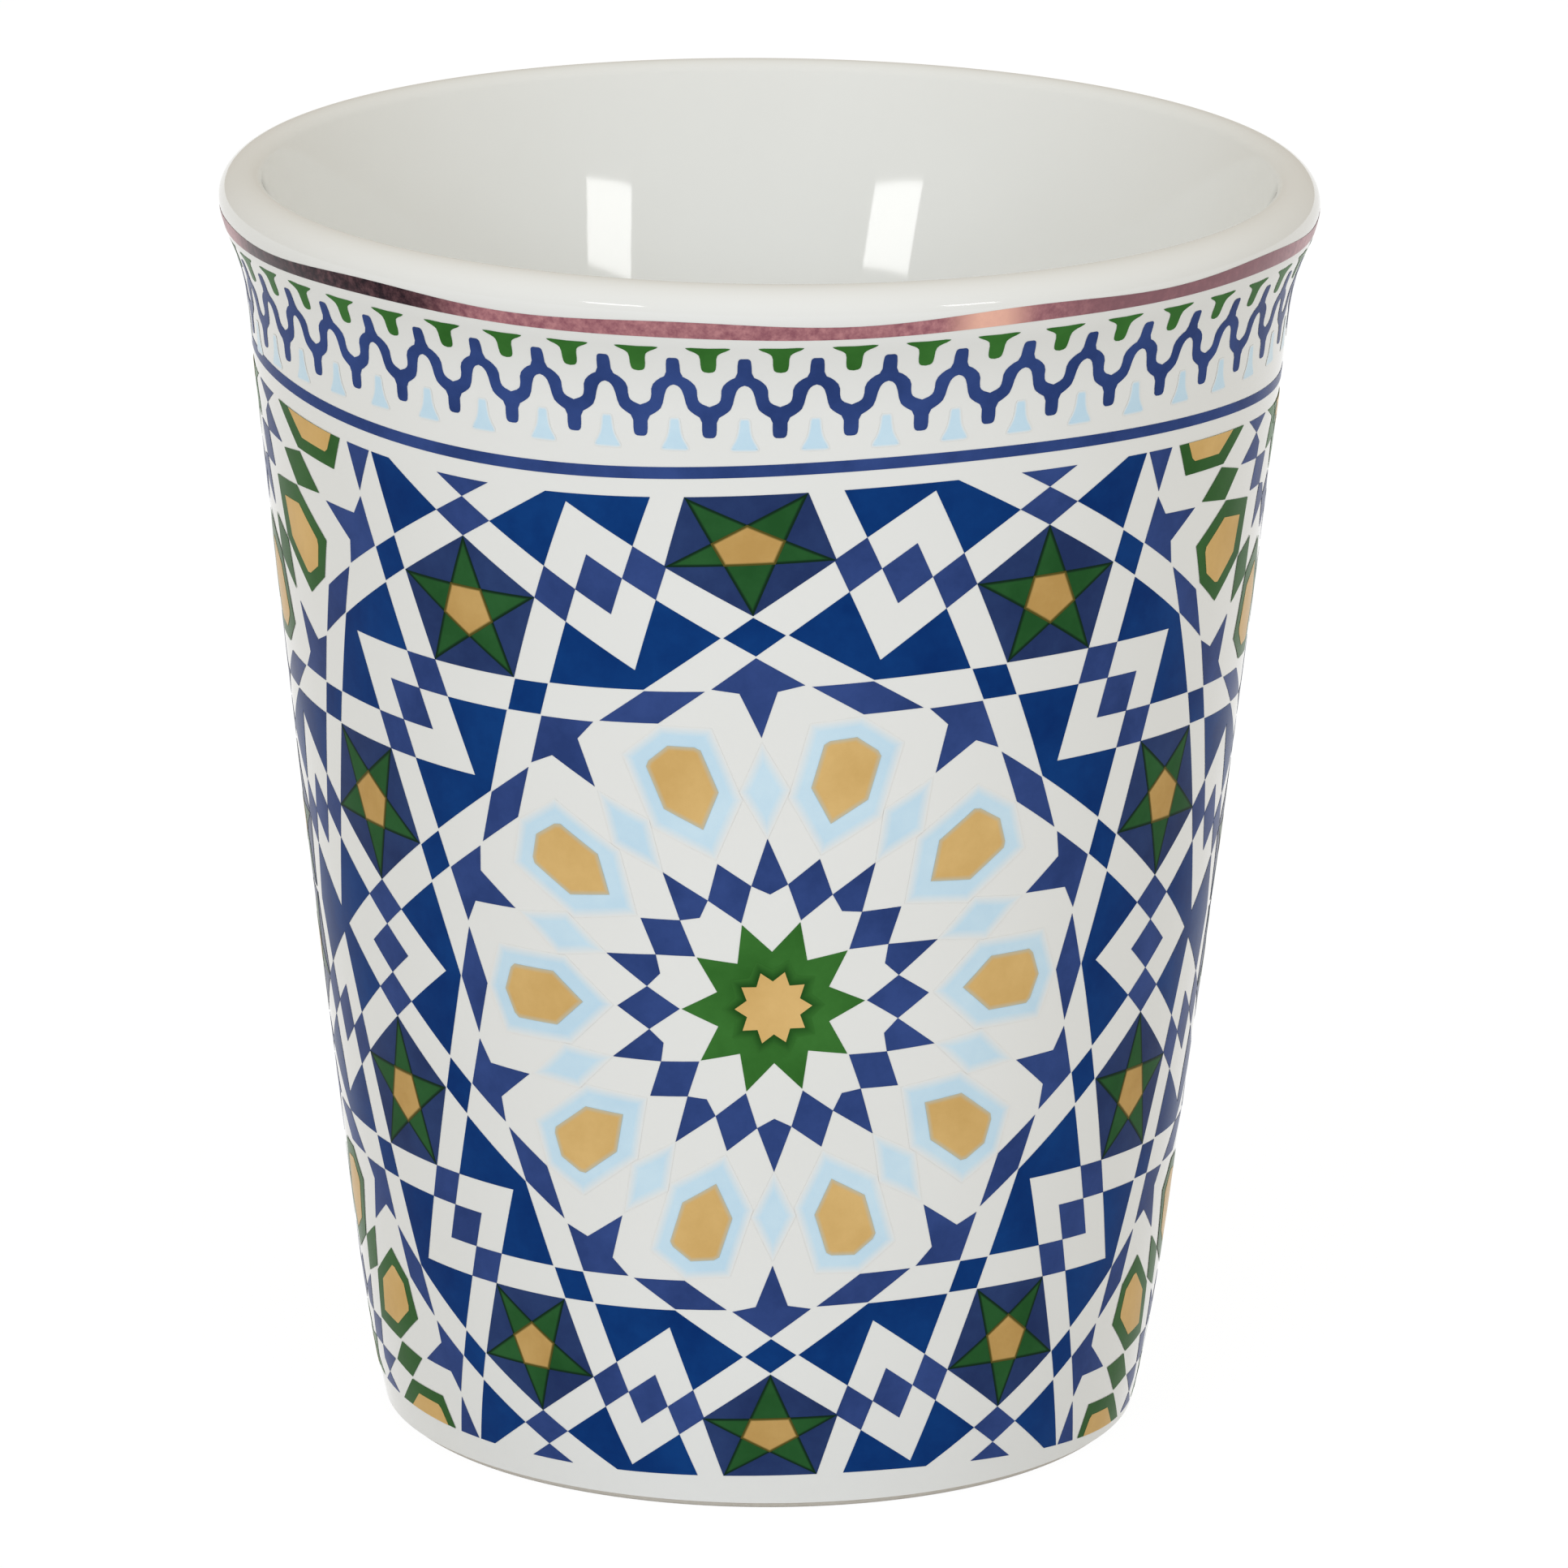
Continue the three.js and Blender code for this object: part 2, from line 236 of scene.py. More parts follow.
# %% [markdown]
# ## Laying ink on the wall
# The print is a paper-thin film of ink. It could be painted by a texture, but then its edges
# would blur close up. Each colour is one flat sheet of outlines instead, drawn as the tile
# maker's plan shows them, cut into small cells so that it can bend, and then wrapped on to the
# wall and given a thickness. Colours that overlap lie on different levels, as fired inks do.

# %% Where the wall is at a height
wall_line = outside_section(0)
INK_THICKNESS = 0.010
INK_LEVELS = {"first": 0.012, "second": 0.026, "third": 0.040}  # mm above the glaze


def wall_at(height):
    for above, below in zip(wall_line, wall_line[1:]):
        if below.y <= height <= above.y and below.y < above.y:
            t = (above.y - height) / (above.y - below.y)
            slope = (above - below).normalized()
            return above.x + (below.x - above.x) * t, Vector((slope.y, -slope.x))
    raise ValueError(f"no wall at {height} mm")


def on_wall(turn_degrees, height, lift):
    radius, outward = wall_at(height)
    reach = radius + lift * outward.x
    angle = radians(turn_degrees)
    return Vector((reach * sin(angle), -reach * cos(angle), height + lift * outward.y)) * MM


print("wall at half height:", round(wall_at(CUP_HEIGHT / 2)[0], 3), "mm from the axis")


# %% A sheet of ink: outlines, cuts, wrapping and thickness
def start_sheet(name):
    sheet = start_piece(name)
    bpy.ops.mesh.delete(type="VERT")
    bpy.ops.object.mode_set(mode="OBJECT")
    sheet.data.attributes.new("cover", "FLOAT", "POINT")
    bpy.ops.object.mode_set(mode="EDIT")
    return sheet


def lay(sheet, corners, edge=0):
    # "cover" says how much ink lies at a point: none along a soft edge, all of it elsewhere
    bpy.ops.mesh.primitive_circle_add(vertices=len(corners), fill_type="NGON")
    film = bmesh.from_edit_mesh(sheet.data)
    cover = film.verts.layers.float["cover"]
    for vert, corner in zip(list(film.verts)[-len(corners):], corners):
        vert.co = (corner[0], corner[1], 0)
        vert[cover] = 0 if edge else 1
    film.normal_update()
    bmesh.update_edit_mesh(sheet.data)
    if edge:
        bpy.ops.mesh.inset(thickness=edge, depth=0)
        film = bmesh.from_edit_mesh(sheet.data)
        cover = film.verts.layers.float["cover"]
        for vert in film.verts:
            if vert.select:
                vert[cover] = 1
        bmesh.update_edit_mesh(sheet.data)


def cut(place, normal, outer=False):
    bpy.ops.mesh.select_all(action="SELECT")
    bpy.ops.mesh.bisect(plane_co=place, plane_no=normal, clear_outer=outer)


def wrap(sheet, lay_down, level, ring=False):
    # outlines that ran clockwise face inwards, and are turned over before the ink gets its thickness
    film = bmesh.from_edit_mesh(sheet.data)
    film.normal_update()
    for face in film.faces:
        face.select_set(face.normal.z < 0)
    bpy.ops.mesh.flip_normals()
    film = bmesh.from_edit_mesh(sheet.data)
    for vert in film.verts:
        vert.co = lay_down(vert.co.x, vert.co.y, INK_LEVELS[level])
    bmesh.update_edit_mesh(sheet.data)
    if ring:
        bpy.ops.mesh.select_all(action="SELECT")
        bpy.ops.mesh.remove_doubles(threshold=WELD)
    bpy.ops.object.mode_set(mode="OBJECT")
    thicken = sheet.modifiers.new("ink thickness", "SOLIDIFY")
    thicken.thickness = INK_THICKNESS * MM
    thicken.offset = 1
    bpy.ops.object.modifier_apply(modifier=thicken.name)
    bpy.ops.object.shade_smooth_by_angle(angle=SMOOTH_BELOW)
    print(sheet.name, len(sheet.data.polygons), "faces")


# %% [markdown]
# ## The plan of the tile pattern
# The pattern is the ten-fold star known from cut tile work. Everything grows from ten straps of
# one width that pass round a rosette at one distance; where two straps cross, the crossing is
# filled with ink. The plan is drawn flat, in units of the ring of ten five-cornered stars, so
# angles are simple multiples of eighteen degrees.

# %% Points, lines and mirrored outlines
STRAP_NEAR = 0.600  # near and far edge of every strap, from the middle of its rosette
STRAP_FAR = 0.675
TILE_TRIM = 0.003  # the inked crossings keep clear of each other by this much
RAYS = 10
SECTOR = 360 // RAYS
HALF_SECTOR = SECTOR / 2  # the straps nearest to an axis lean from it by this much,
SECOND_STRAP = 1.5 * SECTOR  # and the next ones by this
HOOK_REACH = cos(radians(HALF_SECTOR))  # middle of a hook, halfway between two stars
ON_AXIS = 1e-6  # a point nearer to the mirror line than this has no mirror image


def ray(angle, reach):
    return Vector((cos(radians(angle)), sin(radians(angle)))) * reach


def crossing(angle_a, reach_a, angle_b, reach_b):
    square = Matrix((ray(angle_a, 1), ray(angle_b, 1)))
    return square.inverted() @ Vector((reach_a, reach_b))


def mirrored(half):
    points = [Vector(point) for point in half]
    return points + [Vector((p.x, -p.y)) for p in reversed(points) if abs(p.y) > ON_AXIS]


def placed(outline, turn_by=0, middle=(0, 0)):
    spin = Matrix.Rotation(radians(turn_by), 2)
    return [spin @ Vector(point) + Vector(middle) for point in outline]


def strap_crossing(lean):
    near, far = STRAP_NEAR + TILE_TRIM, STRAP_FAR - TILE_TRIM
    pairs = [(near, near), (far, near), (far, far), (near, far)]
    return [crossing(lean, a, -lean, b) for a, b in pairs]


STAR_SIZE = 1 - STRAP_FAR / cos(radians(SECTOR))
print("a star is", round(STAR_SIZE, 4), "of the ring's radius")

# %% One sector of a rosette, with its axis along X
RING_REACH = 0.260
RING_HALF = 10.1  # degrees from the middle of a ring tile to its side corner
PETAL = mirrored([(0.398, 0), (0.462, 0.0570), (0.556, 0.0570), (0.566, 0.0480), (0.585, 0)])
PETAL_BORDER = mirrored([(0.3412, 0), (0.436, 0.0882), (0.5848, 0.0890), (0.6148, 0)])
PETAL_HALO = mirrored([(0.330, 0), (0.431, 0.0940), (0.593, 0.0945), (0.630, 0)])
LEAF = mirrored([(0.3731, 0), (0.4488, 0.0448), (0.5419, 0)])
LEAF_HALO = mirrored([(0.354, 0), (0.456, 0.0490), (0.560, 0)])
RING_TILE = mirrored([(0.190, 0), ray(RING_HALF, RING_REACH), (0.322, 0)])
RING_SPIKE = mirrored([(0.2386, 0), ray(HALF_SECTOR - RING_HALF, RING_REACH), (0.356, 0)])
SHARD_TIP = (STRAP_NEAR / cos(radians(SECTOR)), 0)
SHARD = mirrored([(0.569, 0), (0.666, 0.0360), (0.6765, 0.0885), SHARD_TIP])
NECK_TILE = strap_crossing(HALF_SECTOR)
ROYAL_TILE = strap_crossing(SECTOR)
beyond_hook = 180 - SECOND_STRAP  # the same strap, mirrored in the middle of the hook
hook_near = 2 * HOOK_REACH - STRAP_FAR / cos(radians(SECOND_STRAP))
mirrored_strap = 2 * HOOK_REACH * cos(radians(beyond_hook)) + STRAP_FAR
CHEVRON = mirrored([
    crossing(HALF_SECTOR, STRAP_FAR, -HALF_SECTOR, STRAP_FAR),
    crossing(-HALF_SECTOR, STRAP_FAR, SECOND_STRAP, STRAP_NEAR),
    crossing(SECOND_STRAP, STRAP_NEAR, beyond_hook, mirrored_strap),
    (hook_near, 0),
])
print("chevron corners:", [tuple(round(v, 3) for v in p) for p in CHEVRON])

# %% The hook between two stars, and the five-cornered star
half_strap = (STRAP_FAR - STRAP_NEAR) / 2
hook_half = STRAP_NEAR / cos(radians(SECOND_STRAP)) - HOOK_REACH
hook_rise = hook_half * tan(radians(SECTOR))
tile_rise = half_strap / cos(radians(SECTOR))
tile_half = half_strap / sin(radians(SECTOR))
tile_offset = hook_rise + tile_rise
HOOK_MIDDLE = mirrored([(hook_half, 0), (0, hook_rise), (-hook_half, 0)])
HOOK_TILE = mirrored([(tile_half, 0), (0, tile_rise), (-tile_half, 0)])


def star_outline(corners, tip, notch):
    step = 180 / corners
    turns = [(k * step, notch if k % 2 else tip) for k in range(2 * corners)]
    return [ray(angle, reach) for angle, reach in turns]


STAR_CORNERS = 5
PENTAGON = [ray(360 / STAR_CORNERS * k, STAR_SIZE) for k in range(STAR_CORNERS)]
SHORT_PENTAGON = mirrored([(STAR_SIZE, 0), (0.0512, 0.162), (-0.112, 0.117)])  # at a gap's waist


def star_in(corners):
    star, heart = [], []
    for k in range(STAR_CORNERS):
        near_by = [corners[(k + step) % STAR_CORNERS] for step in (-1, 0, 1, 2)]
        before, here, after, far = near_by
        heart.append(intersect_line_line_2d(here, far, before, after))
        star += [here, heart[-1]]
    return star, heart


print("hook:", round(hook_half, 4), "by", round(hook_rise, 4))

# %% [markdown]
# ## The whole field
# Round the cup stand two full rosettes with pale blue petals. Between them, at the upper and the
# lower edge, stand half rosettes with green petals. The straps leave six-sided gaps shaped like a
# bow tie. Each outline is put on the list of its ink once, and what lies beyond the edges of the
# field is cut away when the sheets are made.

# %% Centres of the rosettes
HALF_REPEAT = 1.5388418  # from a rosette to the next half rosette, round the cup
ROW = 1.1180340  # and up or down
FIELD_EDGE = 1.112
SOFT_EDGE = 0.020  # the pale blue ink thins out over this width,
SHADE_EDGE = 0.016  # so does the dark green round the middle of a rosette,
PETAL_EDGE = 0.010  # and the ochre on the pale petals
DOUBLE_EDGE = 0.011  # where two inks overlap, a dark line half as wide shows
LEVEL_OF = {"navy": "first", "ground": "first", "royal": "first", "sky": "first", "emerald": "first",
            "green": "second", "shade": "second", "star": "second",
            "ochre": "third", "petal": "third", "heart": "third"}
inks = {ink: [] for ink in LEVEL_OF}


def keep(ink, outline, edge=0):
    # what lies wholly beyond the edges of the field isn't drawn
    if min(abs(p.y) for p in outline) < FIELD_EDGE or outline[0].y * outline[1].y < 0:
        inks[ink].append((outline, edge))


full_rosettes = [Vector((0, 0)), Vector((2 * HALF_REPEAT, 0))]
half_rosettes = [Vector((x, y)) for x in (-HALF_REPEAT, HALF_REPEAT) for y in (-ROW, ROW)]
print(len(full_rosettes), "full and", len(half_rosettes), "half rosettes")

# %% Rosettes
EMERALD_STAR = star_outline(RAYS, 0.186, 0.118)
SHADE_STAR = star_outline(RAYS, 0.104, 0.080)
OCHRE_STAR = star_outline(RAYS, 0.078, 0.056)
for middle in full_rosettes + half_rosettes:
    pale = middle in full_rosettes
    keep("emerald", placed(EMERALD_STAR, 0, middle))
    keep("shade", placed(SHADE_STAR, 0, middle), SHADE_EDGE)
    keep("ochre", placed(OCHRE_STAR, 0, middle))
    for k in range(RAYS):
        axis = SECTOR * k
        between = axis + HALF_SECTOR
        keep("navy", placed(RING_TILE, axis, middle))
        keep("navy", placed(NECK_TILE, axis, middle))
        keep("navy", placed(RING_SPIKE, between, middle))
        keep("navy", placed(SHARD, between, middle))
        keep("royal", placed(CHEVRON, axis, middle))
        keep("royal", placed(ROYAL_TILE, between, middle))
        if pale:
            keep("petal", placed(PETAL, axis, middle), PETAL_EDGE)
            keep("sky", placed(PETAL_HALO, axis, middle), SOFT_EDGE)
            keep("sky", placed(LEAF_HALO, between, middle), SOFT_EDGE)
        else:
            keep("ochre", placed(PETAL, axis, middle))
            keep("green", placed(PETAL_BORDER, axis, middle))
            keep("green", placed(LEAF, between, middle))
print({ink: len(outlines) for ink, outlines in inks.items()})


# %% Stars and hooks
WAIST_STARS = (2, 7)  # the two that stand straight above and below a rosette


def lay_star(middle, angle, short):
    corners = SHORT_PENTAGON if short else PENTAGON
    star, heart = star_in(corners)
    place = middle + ray(angle, 1)
    keep("ground", placed(corners, angle + 180, place))
    keep("star", placed(star, angle + 180, place), DOUBLE_EDGE)
    keep("heart", placed(heart, angle + 180, place), DOUBLE_EDGE)


def lay_hook(middle, angle):
    place = middle + ray(angle, HOOK_REACH)
    keep("navy", placed(HOOK_MIDDLE, angle, place))
    for side in (90, -90):
        keep("navy", placed(HOOK_TILE, angle, place + ray(angle + side, tile_offset)))


for middle in full_rosettes:
    for k in range(RAYS):
        lay_star(middle, HALF_SECTOR + SECTOR * k, short=k in WAIST_STARS)
        lay_hook(middle, SECTOR * k)
for middle in half_rosettes:
    towards = 270 if middle.y > 0 else 90
    lay_star(middle, towards, short=True)
    for angle in (towards - HALF_SECTOR, towards + HALF_SECTOR, 0, 180):
        lay_hook(middle, angle)
print({ink: len(outlines) for ink, outlines in inks.items()})


# %% The gaps between rosettes, half a bow tie at a time
def gap_half(waist, side):
    reach = HALF_REPEAT * side
    facing = 0 if side > 0 else 180
    corners = [(waist - Vector((reach, 0)), facing)]
    corners.append((waist + Vector((0, ROW * side)), facing + 7 * SECTOR))
    corners.append((waist - Vector((0, ROW * side)), facing + 3 * SECTOR))
    strap_out = STAR_SIZE * cos(radians(SECTOR)) + 2 * half_strap
    tip = (strap_out - (ROW - 1) * sin(radians(HALF_SECTOR))) / cos(radians(HALF_SECTOR))
    outline = []
    for rosette, angle in corners:
        place = rosette + ray(angle, HOOK_REACH + tile_half)
        outline.append(place + ray(angle - 90, tile_offset))
        outline.append(rosette + ray(angle, STRAP_FAR / cos(radians(SECOND_STRAP))))
        outline.append(place + ray(angle + 90, tile_offset))
        if len(outline) == 6:  # the tip at the waist lies between the second corner and the third
            outline.append(waist - Vector((tip * side, 0)))
    return outline


for side in (1, -1):
    for waist in (HALF_REPEAT, -HALF_REPEAT):
        keep("royal", gap_half(Vector((waist, 0)), side))
    for rosette in full_rosettes:
        for row in (ROW, -ROW):
            keep("royal", gap_half(rosette + Vector((0, row)), side))
print("royal outlines:", len(inks["royal"]))

# %% [markdown]
# ## How the transfer lies on the cup
# A transfer is a printed sheet that is slid on to a wet glaze by hand, so it never lies quite
# true. Seen from the front, its middle stands a little to the right, it leans, its upper and
# lower ends are squeezed, and it dips to the left and climbs to the right. These few numbers say
# so. All of them come back to the same value after one turn, so the print closes at the back.

# %% From the flat plan to the wall
TURN_PER_UNIT = 90 / HALF_REPEAT  # degrees round the cup
FIELD_TURN = 1.49  # degrees that the middle stands to the right
FIELD_MIDDLE = 29.82  # height in mm
FIELD_SCALE = 27.11  # mm to one unit of the plan
DIPS_TO = 60  # degrees from the front up to which the sheet dips freely,
TRUE_FROM = 130  # and from which on it lies true


def lay_on_cup(x, y, lift):
    around = radians(TURN_PER_UNIT * x)
    off_front = degrees(acos(cos(around)))  # 0 at the front, 180 at the back
    settled = min(max((off_front - DIPS_TO) / (TRUE_FROM - DIPS_TO), 0), 1)
    slack = 1 - settled**2 * (3 - 2 * settled)
    # sideways, in degrees
    lean = -1.80 * y - 2.48 * y**2 + (1.20 - 0.28 * cos(4 * around)) * y**4
    stretch = (-2.24 - 0.42 * y) * sin(around) + (1.97 - 0.41 * y**4) * sin(2 * around)
    stretch += (0.32 - 0.55 * y**2) * sin(3 * around)
    # upwards, in mm
    squeeze = -1.44 * y**3 + 0.36 * y**2
    dip = (-0.73 - 0.26 * y**4) * sin(around) + (0.91 + 0.26 * y) * sin(2 * around)
    dip += (0.20 * y**2 - 0.16) * cos(3 * around) + 0.07 * sin(5 * around)
    climb = 0.25 * y * (1 - cos(2 * around))
    turned = TURN_PER_UNIT * x + FIELD_TURN + lean + stretch
    height = FIELD_MIDDLE + FIELD_SCALE * y + squeeze + slack * (dip + climb)
    return on_wall(turned, height, lift)


print("field edge at the front:", round(lay_on_cup(0, FIELD_EDGE, 0).z / MM, 2), "mm up")

# %% Wrap each ink of the field
CELL = 0.032  # cells of about 0.8 mm, so that a film never cuts into the round wall
ROWS = 0.044  # the wall is nearly straight upwards, so the rows may be wider


def wrap_field(ink, outlines, level):
    sheet = start_sheet(f"{ink}_print")
    for outline, edge in outlines:
        lay(sheet, outline, edge)
    cut((0, FIELD_EDGE, 0), (0, 1, 0), outer=True)
    cut((0, -FIELD_EDGE, 0), (0, -1, 0), outer=True)
    left = min(p.x for outline, edge in outlines for p in outline)
    right = max(p.x for outline, edge in outlines for p in outline)
    for column in range(int((right - left) / CELL) + 1):
        cut((left + column * CELL, 0, 0), (1, 0, 0))
    for row in range(int(2 * FIELD_EDGE / ROWS) + 1):
        cut((0, -FIELD_EDGE + row * ROWS, 0), (0, 1, 0))
    wrap(sheet, lay_on_cup, level)
    return sheet


field_prints = {}
for ink, level in LEVEL_OF.items():
    field_prints[ink] = wrap_field(ink, inks[ink], level)
    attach(field_prints[ink], "root")
    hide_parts("field_transfer")

# %% [markdown]
# ## The rule and the border
# Between the field and the lip run a thin navy rule, a waved navy line with green studs hanging
# into its valleys and pale blue bells standing under its crests. The rule is part of the field's
# transfer, and the rest is a transfer of its own. The wave could be a curve with a bevel, but its
# line changes width at the bends, so both edges are drawn for half a wave, their corners are cut
# off once, which rounds them, and the half is mirrored and repeated.

# %% The rule, on the same sheet as the field
RULE_LOW = 1.156
RULE_HIGH = 1.185
RULE_STEP = HALF_REPEAT / 48


def strip(sheet, length, low, high, step, start=0):
    lay(sheet, [(start, low), (start + length, low), (start + length, high), (start, high)])
    for column in range(1, round(length / step)):
        cut((start + column * step, 0, 0), (1, 0, 0))


rule = start_sheet("rule_print")
strip(rule, 4 * HALF_REPEAT, RULE_LOW, RULE_HIGH, RULE_STEP, -HALF_REPEAT)
wrap(rule, lay_on_cup, "first", ring=True)
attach(rule, "root")
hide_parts("border_rule")

# %% Half outlines of the border: mm from the middle line, and height
WAVES = 48
HALF_WAVE = 1.859
WAVE_UPPER = [(0, 63.52), (0.48, 63.71), (0.63, 63.98), (0.65, 64.62), (1.03, 65.03), (1.48, 65.25),
              (1.51, 66.12), (1.62, 66.29), (HALF_WAVE, 66.29)]
WAVE_LOWER = [(0, 61.80), (0.27, 61.82), (0.39, 62.03), (0.39, 62.86), (0.92, 63.18), (1.19, 63.46),
              (1.39, 64.36), (1.60, 64.66), (HALF_WAVE, 64.75)]
STUD = [(0, 66.90), (1.18, 66.93), (1.05, 66.80), (0.62, 66.62), (0.42, 66.42), (0.40, 65.75),
        (0.30, 65.52), (0, 65.47)]
BELL = [(0, 62.90), (0.30, 62.90), (0.36, 62.20), (0.48, 61.75), (0.76, 61.30), (0.76, 61.06),
        (0, 61.06)]


def rounded(line):
    line = [Vector(point) for point in line]
    inner = [a.lerp(b, t) for a, b in zip(line, line[1:]) for t in (0.25, 0.75)]
    return [line[0], *inner, line[-1]]


def both_sides(half):
    return [Vector((-p.x, p.y)) for p in half[:0:-1]] + half


def whole(half):
    return half + [Vector((-p.x, p.y)) for p in half[-2:0:-1]]


wave = both_sides(rounded(WAVE_UPPER)) + both_sides(rounded(WAVE_LOWER))[::-1]
print("one wave has", len(wave), "corners")


# %% How the border lies under the lip
BORDER_TURN = 1.34  # degrees that its first valley stands to the right
BORDER_CUTS = 4  # to half a wave, so that the film bends with the wall
BORDER_ROWS = range(62, 67)  # heights in mm at which it is cut as well
BELL_EDGE = 0.14  # mm over which the pale blue of a bell thins out


def lay_on_border(x, y, lift):
    around = x / HALF_WAVE * 180 / WAVES + BORDER_TURN
    t = radians(around)
    height = y + 0.24 * sin(t) + 0.11 * sin(4 * t) - 0.09 * cos(4 * t)
    stretched = around + 0.1 + 0.4 * (1 - cos(3 * t))
    return on_wall(stretched, height, lift)


def wrap_border(name, outline, middle, edge=0, ring=False):
    sheet = start_sheet(name)
    for k in range(WAVES):
        lay(sheet, [(p.x + (2 * k + middle) * HALF_WAVE, p.y) for p in outline], edge)
    for column in range(2 * BORDER_CUTS * WAVES):
        cut(((column / BORDER_CUTS - 1) * HALF_WAVE, 0, 0), (1, 0, 0))
    for height in BORDER_ROWS:
        cut((0, height, 0), (0, 1, 0))
    wrap(sheet, lay_on_border, "first", ring)
    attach(sheet, "root")
    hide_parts("wave_line")
    return sheet


wave_print = wrap_border("wave_print", wave, 0, ring=True)
studs = wrap_border("stud_print", whole(rounded(STUD)), 0)
bells = wrap_border("bell_print", whole(rounded(BELL)), 1, edge=BELL_EDGE)

# %% [markdown]
# ## The lustre line
# The line at the lip is metallic lustre, brushed on by hand while the cup turns on a wheel, so it
# wanders a little up and down and its width changes. It could be a bevelled curve, but a flat strip
# that is cut into short lengths and wrapped like the inks lies on the wall all along, and the
# wander is then part of the wrapping.

# %% Wrap the lustre
LUSTRE_WIDTH = 0.80
LUSTRE_HEIGHT = 67.835
LUSTRE_LENGTHS = 192


def lay_lustre(x, y, lift):
    t = radians(x)
    wander = 0.195 * sin(t) + 0.059 * sin(4 * t) - 0.141 * cos(4 * t)
    shake = (0.10 + 0.13 * y) * sin(10 * t)  # of the hand, and most at the upper edge
    return on_wall(x, LUSTRE_HEIGHT + wander - shake + y, lift)


lustre = start_sheet("lustre_band")
strip(lustre, 360, -LUSTRE_WIDTH / 2, LUSTRE_WIDTH / 2, 360 / LUSTRE_LENGTHS)
cut((0, 0, 0), (0, 1, 0))
wrap(lustre, lay_lustre, "first", ring=True)
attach(lustre, "root")
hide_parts("lustre_line")

# %% [markdown]
# ## The camera
# The photograph is taken with a long lens from a little above, so the camera stands far away and
# the cup's sides hardly converge. A Track To constraint could aim it, but would keep it level, and
# the photograph is rolled by half a degree. So the camera's three axes are worked out here and
# become its matrix.

# %% Camera
ELEVATION = radians(15.391)
ROLL = 0.00952  # radians
DISTANCE = 660  # mm
LOOK_AT = Vector((1.094, 0, 35.197))
PHOTO_SIZE = 1932  # pixels
FOCAL_LENGTH = 14746.5  # in the same pixels
SENSOR_WIDTH = 36  # mm
FAR_CLIP = 20  # metres
back = Vector((0, -cos(ELEVATION), sin(ELEVATION)))
right = Vector((1, 0, 0))
upward = Vector((0, sin(ELEVATION), cos(ELEVATION)))
level_right = right * cos(ROLL) + upward * sin(ROLL)
level_up = upward * cos(ROLL) - right * sin(ROLL)
bpy.ops.object.camera_add()
camera = bpy.context.object
camera.name = "camera"
placing = Matrix((level_right, level_up, back)).transposed().to_4x4()
placing.translation = (LOOK_AT + DISTANCE * back) * MM
camera.matrix_world = placing
camera.data.sensor_width = SENSOR_WIDTH
camera.data.lens = SENSOR_WIDTH * FOCAL_LENGTH / PHOTO_SIZE
camera.data.clip_end = FAR_CLIP
bpy.context.scene.camera = camera
print("lens:", round(camera.data.lens, 1), "mm")

# %% [markdown]
# ## Finishes
# Everything on this cup is fired glass or clay, so nothing is one flat colour. Patterns use Object
# coordinates and sizes in millimetres, so that they sit still on the cup. The nodes could be wired
# by hand in the shader editor. Here one helper adds a node with its settings and links, and another
# turns a colour, as a screen shows it, into the linear light that Blender reckons with.


# %% Colours and nodes
def colour(code):
    parts = [int(code[i:i + 2], 16) / 255 for i in (1, 3, 5)]
    linear = [p / 12.92 if p <= 0.04045 else ((p + 0.055) / 1.055) ** 2.4 for p in parts]
    return (*linear, 1)


def node(tree, kind, settings=None, links=None):
    made = tree.nodes.new(kind)
    for name, value in (settings or {}).items():
        if isinstance(name, int) or name in made.inputs:
            made.inputs[name].default_value = value
        else:
            setattr(made, name, value)
    for name, source in (links or {}).items():
        tree.links.new(source, made.inputs[name])
    return made


def new_material(name):
    made = bpy.data.materials.new(name)
    made.use_nodes = True
    made.node_tree.nodes.clear()
    return made, made.node_tree


print("middle grey in linear light:", round(colour("#808080")[0], 3))

# %% [markdown]
# ## The glaze
# The glaze is clear glass over white clay. It could be a clear shell round a white body, but so thin
# a coat would only cost time, so one glossy white shader stands for both. Its white has warmer and
# cooler patches, and a faint ripple keeps the reflections from looking machined.

# %% Porcelain with a clear glaze
GLAZE = "#F1F2EE"
MIX_FACTOR, MIX_A, MIX_B, MIX_RESULT = 0, 6, 7, 2  # colour sockets of the Mix node


def per_mm(size):
    return 1 / (size * MM)  # texture scale that gives features of this size in mm


def glazed_porcelain():
    # a hard, wet-looking white that mirrors the windows
    made, tree = new_material("porcelain, clear gloss glaze")
    place = node(tree, "ShaderNodeTexCoord").outputs["Object"]
    clouds = node(tree, "ShaderNodeTexNoise", {"Scale": per_mm(14), "Detail": 3.0}, {"Vector": place})
    tone = node(tree, "ShaderNodeMix", {"data_type": "RGBA", MIX_A: colour("#F4F5F1"),
                                        MIX_B: colour("#EEEFEA")}, {MIX_FACTOR: clouds.outputs[0]})
    ripple = node(tree, "ShaderNodeTexNoise", {"Scale": per_mm(4), "Detail": 1.0}, {"Vector": place})
    bump = node(tree, "ShaderNodeBump", {"Strength": 0.25, "Distance": 0.01 * MM},
                {"Height": ripple.outputs[0]})
    shine = node(tree, "ShaderNodeMapRange", {"To Min": 0.02, "To Max": 0.05},
                 {"Value": clouds.outputs[0]})
    shader = node(tree, "ShaderNodeBsdfPrincipled", {"IOR": 1.5}, {
        "Base Color": tone.outputs[MIX_RESULT], "Roughness": shine.outputs[0],
        "Normal": bump.outputs[0]})
    node(tree, "ShaderNodeOutputMaterial", links={"Surface": shader.outputs[0]})
    return made


